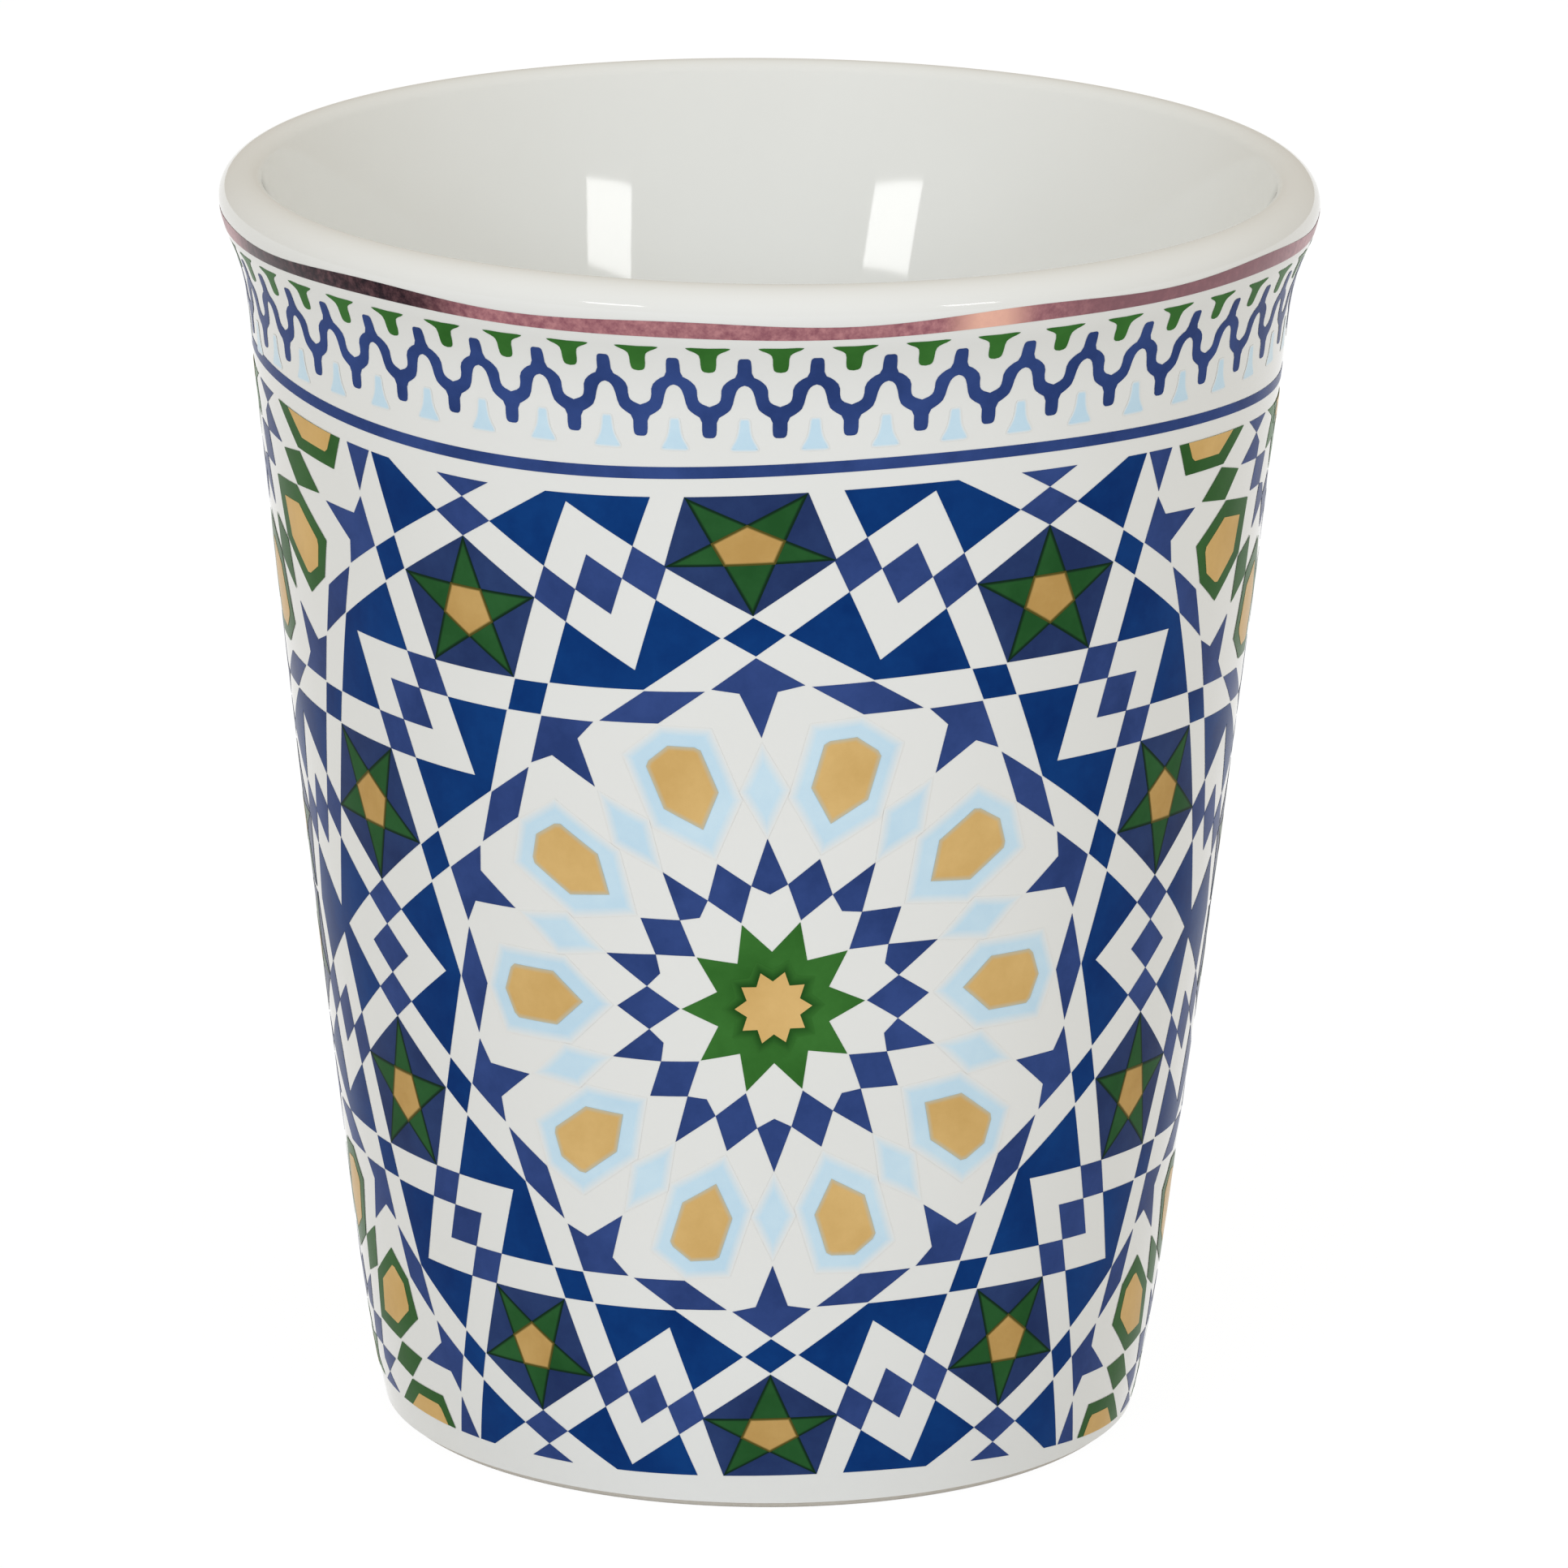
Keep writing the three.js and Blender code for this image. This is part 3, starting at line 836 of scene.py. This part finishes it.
glaze_coat.data.materials.append(glazed_porcelain())
foot_well.data.materials.append(glaze_coat.data.materials[0])
print("glaze:", glaze_coat.data.materials[0].name)

# %% [markdown]
# ## The bare foot
# The ring that the cup stands on is wiped free of glaze, so that it doesn't stick in the kiln, and is
# polished. Bare porcelain is matt and warmer than the glaze. A plain rough colour would look like
# paper, so one fine noise gives it both its specks and its sugary tooth.


# %% Bare porcelain on the foot
def bare_porcelain():
    # matt, slightly sugary, with the fine dark specks of fired clay
    made, tree = new_material("porcelain, unglazed and polished")
    place = node(tree, "ShaderNodeTexCoord").outputs["Object"]
    grain = node(tree, "ShaderNodeTexNoise", {"Scale": per_mm(0.4), "Detail": 4.0}, {"Vector": place})
    tone = node(tree, "ShaderNodeMix", {"data_type": "RGBA", MIX_A: colour("#D6CFC2"),
                                        MIX_B: colour("#E6E1D6")}, {MIX_FACTOR: grain.outputs[0]})
    bump = node(tree, "ShaderNodeBump", {"Strength": 0.4, "Distance": 0.02 * MM},
                {"Height": grain.outputs[0]})
    shader = node(tree, "ShaderNodeBsdfPrincipled", {"Roughness": 0.65}, {
        "Base Color": tone.outputs[MIX_RESULT], "Normal": bump.outputs[0]})
    node(tree, "ShaderNodeOutputMaterial", links={"Surface": shader.outputs[0]})
    return made


clay_body.data.materials.append(bare_porcelain())
print("foot:", clay_body.data.materials[0].name)

# %% [markdown]
# ## The enamels
# The inks are ground glass, printed through a screen and fired. They are a little uneven, satin
# rather than glossy, and have a few pinholes where the glaze shows through. Each ink could have its
# own nodes, but only the colours differ, so one function makes them all. Where an ink is soft-edged
# or lies over another, the "cover" that was stored with its outlines blends in an edge colour.

# %% Screen-printed enamel
NOISE_LOW, NOISE_HIGH = 0.35, 0.65  # most values of a noise texture lie between these
PINHOLE_SPACING = 2.2  # mm
PINHOLE_SHARE = 0.10  # of the places really have one
PINHOLE_RADIUS = 0.045  # of the spacing, so 0.1 mm


def fired_ink(name, deep, pale, edge=None, ramp=(0.3, 0.7), mirror=0.02):
    # satin glass colour: uneven in the large and in the small, with pinholes
    made, tree = new_material(name)
    place = node(tree, "ShaderNodeTexCoord").outputs["Object"]
    clouds = node(tree, "ShaderNodeTexNoise", {"Scale": per_mm(5), "Detail": 6.0, "Roughness": 0.65},
                  {"Vector": place})
    load = node(tree, "ShaderNodeMapRange", {"From Min": NOISE_LOW, "From Max": NOISE_HIGH},
                {"Value": clouds.outputs[0]})
    tone = node(tree, "ShaderNodeMix", {"data_type": "RGBA", MIX_A: colour(deep), MIX_B: colour(pale)},
                {MIX_FACTOR: load.outputs[0]}).outputs[MIX_RESULT]
    if edge:
        cover = node(tree, "ShaderNodeAttribute", {"attribute_name": "cover"})
        share = node(tree, "ShaderNodeMapRange", {"From Min": ramp[0], "From Max": ramp[1]},
                     {"Value": cover.outputs["Fac"]})
        tone = node(tree, "ShaderNodeMix", {"data_type": "RGBA", MIX_A: colour(edge)},
                    {MIX_FACTOR: share.outputs[0], MIX_B: tone}).outputs[MIX_RESULT]
    cells = node(tree, "ShaderNodeTexVoronoi", {"Scale": per_mm(PINHOLE_SPACING)}, {"Vector": place})
    chosen = node(tree, "ShaderNodeMath", {"operation": "LESS_THAN", 1: PINHOLE_SHARE},
                  {0: cells.outputs["Color"]})
    dot = node(tree, "ShaderNodeMath", {"operation": "LESS_THAN", 1: PINHOLE_RADIUS},
               {0: cells.outputs["Distance"]})
    pinhole = node(tree, "ShaderNodeMath", {"operation": "MULTIPLY"},
                   {0: chosen.outputs[0], 1: dot.outputs[0]})
    tone = node(tree, "ShaderNodeMix", {"data_type": "RGBA", MIX_B: colour(GLAZE)},
                {MIX_FACTOR: pinhole.outputs[0], MIX_A: tone}).outputs[MIX_RESULT]
    # the screen's real mesh is finer, and is drawn as coarse as it needs to show
    tooth = node(tree, "ShaderNodeTexNoise", {"Scale": per_mm(0.25), "Detail": 2.0}, {"Vector": place})
    bump = node(tree, "ShaderNodeBump", {"Strength": 0.15, "Distance": 0.006 * MM},
                {"Height": tooth.outputs[0]})
    shader = node(tree, "ShaderNodeBsdfPrincipled", {"Specular IOR Level": mirror, "Roughness": 0.22}, {
        "Base Color": tone, "Normal": bump.outputs[0]})
    node(tree, "ShaderNodeOutputMaterial", links={"Surface": shader.outputs[0]})
    return made


enamels = {
    "navy": fired_ink("navy enamel, screen-printed", "#2D4279", "#3A518E"),
    "ground": fired_ink("dark navy enamel, screen-printed", "#263764", "#314676"),
    "royal": fired_ink("royal blue enamel, screen-printed", "#0B3270", "#124182"),
    "sky": fired_ink("pale blue enamel, soft-edged", "#C8E7F8", "#D4EFFC", GLAZE, (0, 1), 0.5),
    "emerald": fired_ink("bright green enamel, screen-printed", "#336A2A", "#407B36"),
    "green": fired_ink("green enamel, screen-printed", "#305F2A", "#3B6C34"),
    "shade": fired_ink("dark green enamel, soft-edged", "#214E1C", "#2A5A25", "#3A7330", (0, 1)),
    "star": fired_ink("green enamel over navy", "#25562A", "#306435", "#15301F"),
    "ochre": fired_ink("ochre enamel, screen-printed", "#DDB570", "#E9C27E"),
    "petal": fired_ink("ochre enamel, soft-edged", "#DBB36E", "#E7C17D", "#CBC6AE", (0, 1)),
    "heart": fired_ink("ochre enamel over green", "#C69E5C", "#D4AE6C", "#5A5424"),
}
for ink, sheet in field_prints.items():
    sheet.data.materials.append(enamels[ink])
for sheet, ink in ((rule, "navy"), (wave_print, "navy"), (studs, "emerald"), (bells, "sky")):
    sheet.data.materials.append(enamels[ink])
print("enamels:", ", ".join(enamels))

# %% [markdown]
# ## The lustre's metal
# Lustre is a film of metal, far thinner than the inks, so the brush shows in it as a pink-brown
# mottle. Round the cup, colour is painted on in stretches as well: a nearly black painted reflection
# on the left, a darker mauve stretch on the right and a pale peach painted highlight. These stretches
# could be painted by hand. Here each is a direction round the cup, which an arctangent finds from the
# Object coordinates, and a colour that fades in on both sides of it.

# %% Brushed lustre
# degrees round from the front, half width where a stretch begins and is full, its colour
# a painted dark reflection on the left, a darker mauve stretch on the right, a painted peach highlight
LUSTRE_TONES_AND_PAINTED_REFLECTIONS = [(-53, 24, 13, "#1E141B"), (50, 28, 10, "#7E5A60"), (23, 6, 0.5, "#E6B4A0")]
GRAIN_SHOWS = 0.18  # share of the grain's mottle that shows through each painted stretch


def brushed_lustre():
    # thin metal, pink-brown and mottled, with a painted dark reflection, a darker mauve stretch and a
    # painted peach highlight
    made, tree = new_material("copper lustre, brushed on and fired")
    place = node(tree, "ShaderNodeTexCoord").outputs["Object"]
    grain = node(tree, "ShaderNodeTexNoise", {"Scale": per_mm(0.5), "Detail": 4.0, "Roughness": 0.7},
                 {"Vector": place})
    coat_share = node(tree, "ShaderNodeMapRange", {"From Min": NOISE_LOW, "From Max": NOISE_HIGH},
                      {"Value": grain.outputs[0]})
    tone = node(tree, "ShaderNodeMix", {"data_type": "RGBA", MIX_A: colour("#8C5963"),
                                        MIX_B: colour("#B47F82")}, {MIX_FACTOR: coat_share.outputs[0]})
    axes = node(tree, "ShaderNodeSeparateXYZ", links={0: place})
    front = node(tree, "ShaderNodeMath", {"operation": "MULTIPLY", 1: -1.0}, {0: axes.outputs["Y"]})
    around = node(tree, "ShaderNodeMath", {"operation": "ARCTAN2"},
                  {0: axes.outputs["X"], 1: front.outputs[0]})
    hiding = node(tree, "ShaderNodeMath", {"operation": "MULTIPLY_ADD", 1: -GRAIN_SHOWS, 2: 1.0},
                  {0: coat_share.outputs[0]})
    # each stretch's colour fades in here, the painted dark reflection and the painted highlight among
    # them
    for middle, begins, full, shade in LUSTRE_TONES_AND_PAINTED_REFLECTIONS:
        off = node(tree, "ShaderNodeMath", {"operation": "SUBTRACT", 1: radians(middle)},
                   {0: around.outputs[0]})
        apart = node(tree, "ShaderNodeMath", {"operation": "ABSOLUTE"}, {0: off.outputs[0]})
        share = node(tree, "ShaderNodeMapRange",
                     {"interpolation_type": "SMOOTHSTEP", "From Min": radians(begins),
                      "From Max": radians(full)},
                     {"Value": apart.outputs[0], "To Max": hiding.outputs[0]})
        tone = node(tree, "ShaderNodeMix", {"data_type": "RGBA", MIX_B: colour(shade)},
                    {MIX_FACTOR: share.outputs[0], MIX_A: tone.outputs[MIX_RESULT]})
    shader = node(tree, "ShaderNodeBsdfPrincipled", {"Metallic": 1.0, "Roughness": 0.3},
                  {"Base Color": tone.outputs[MIX_RESULT]})
    node(tree, "ShaderNodeOutputMaterial", links={"Surface": shader.outputs[0]})
    return made


lustre.data.materials.append(brushed_lustre())
print("lustre:", lustre.data.materials[0].name)

# %% [markdown]
# ## Floor and room
# The cup stands on white paper in a white room. Enough light to make the paper quite white would
# burn out the cup. So the paper is white to the eye only: for the camera and in reflections most of
# it glows, and the rest is plain paper that keeps the cup's shadow. What lights the cup is the plain
# paper and an even, slightly warm room.

# %% Floor
FLOOR_GLOW = 0.90  # share of the floor that is plain white to the eye; the rest keeps the shadow
FLOOR_WHITE = 1.07  # brings the two shares together up to white
FLOOR_RADIUS = 3  # metres
bpy.ops.object.select_all(action="DESELECT")
bpy.ops.mesh.primitive_circle_add(vertices=96, radius=FLOOR_RADIUS, fill_type="NGON", location=(0, 0, 0))
floor = bpy.context.object
floor.name = "floor"

# matt paper without a sheen, so that nothing but the shadow shows on it
made, tree = new_material("white paper floor")
paper = node(tree, "ShaderNodeBsdfDiffuse", {"Color": colour("#D8D8D8")})
glow = node(tree, "ShaderNodeEmission", {"Color": (1, 1, 1, 1), "Strength": FLOOR_WHITE})
path = node(tree, "ShaderNodeLightPath")
seen = path.outputs["Is Camera Ray"]
for kind in ("Is Glossy Ray", "Is Transmission Ray"):
    seen = node(tree, "ShaderNodeMath", {"operation": "ADD", "use_clamp": True},
                {0: seen, 1: path.outputs[kind]}).outputs[0]
share = node(tree, "ShaderNodeMath", {"operation": "MULTIPLY", 1: FLOOR_GLOW}, {0: seen})
blend = node(tree, "ShaderNodeMixShader", links={
    0: share.outputs[0], 1: paper.outputs[0], 2: glow.outputs[0]})
node(tree, "ShaderNodeOutputMaterial", links={"Surface": blend.outputs[0]})
floor.data.materials.append(made)
print("floor:", 2 * FLOOR_RADIUS, "m across")

# %% World
ROOM_LIGHT = 0.585
world = bpy.data.worlds.new("white room")
bpy.context.scene.world = world
world.use_nodes = True
tree = world.node_tree
tree.nodes.clear()
room = node(tree, "ShaderNodeBackground", {"Color": colour("#FFF7EA"), "Strength": ROOM_LIGHT})
node(tree, "ShaderNodeOutputWorld", links={"Surface": room.outputs[0]})
bpy.context.scene.view_settings.view_transform = "Standard"
print("room light:", ROOM_LIGHT)

# %% [markdown]
# ## Windows
# Two panes of light in front of the cup, left and right of the camera, are what shows in the glaze on
# the inside of the far wall. They could be glowing meshes, but area lamps give the same reflection
# with less noise. A pane that stands askew to the cup shows as a parallelogram, so each is turned
# until its sills slope and its sides lean as in the photograph. Two broad, cooler daylights in the
# same directions give the soft light, and are kept out of the reflections.

# %% Windows of light
WINDOW_DISTANCE = 1.5  # metres
WINDOW_BASE = 0.062  # height in metres of the spot inside the cup that the panes are seen from


def window(name, azimuth, low, high, spread, slope, lean, strength):
    # its direction, lower and upper edge and width in degrees, its skew, and its brightness
    reach = WINDOW_DISTANCE
    middle = radians((low + high) / 2)
    place = Vector((sin(radians(azimuth)), -cos(radians(azimuth)), tan(middle))) * reach
    bpy.ops.object.light_add(type="AREA", location=place + Vector((0, 0, WINDOW_BASE)))
    lamp = bpy.context.object
    lamp.name = name
    askew = abs(lean - slope) ** 0.5
    sill = Vector((1, slope, askew))
    jamb = Vector((-lean, 1, askew))
    pane = Matrix((sill.normalized(), jamb.normalized(), sill.cross(jamb).normalized())).transposed()
    lamp.rotation_euler = (place.to_track_quat("Z", "Y").to_matrix() @ pane).to_euler()
    lamp.data.shape = "RECTANGLE"
    lamp.data.size = 2 * reach * tan(radians(spread / 2)) * sill.length
    lamp.data.size_y = reach * (tan(radians(high)) - tan(radians(low))) * jamb.length
    lamp.data.energy = strength * pi * lamp.data.size * lamp.data.size_y
    print(name, round(lamp.data.energy, 2), "W")
    return lamp


window("right window", 43, low=16.5, high=20.5, spread=11.6, slope=-0.045, lean=0.40, strength=7)
window("left window", -32, low=17.5, high=21.3, spread=12.4, slope=0.07, lean=0.50, strength=7)
for name, azimuth, strength in (("right daylight", 33, 2.6), ("left daylight", -32, 3.75)):
    daylight = window(name, azimuth, low=14, high=32, spread=40, slope=0, lean=0, strength=strength)
    daylight.visible_glossy = False
    daylight.data.color = colour("#E4EEFF")[:3]
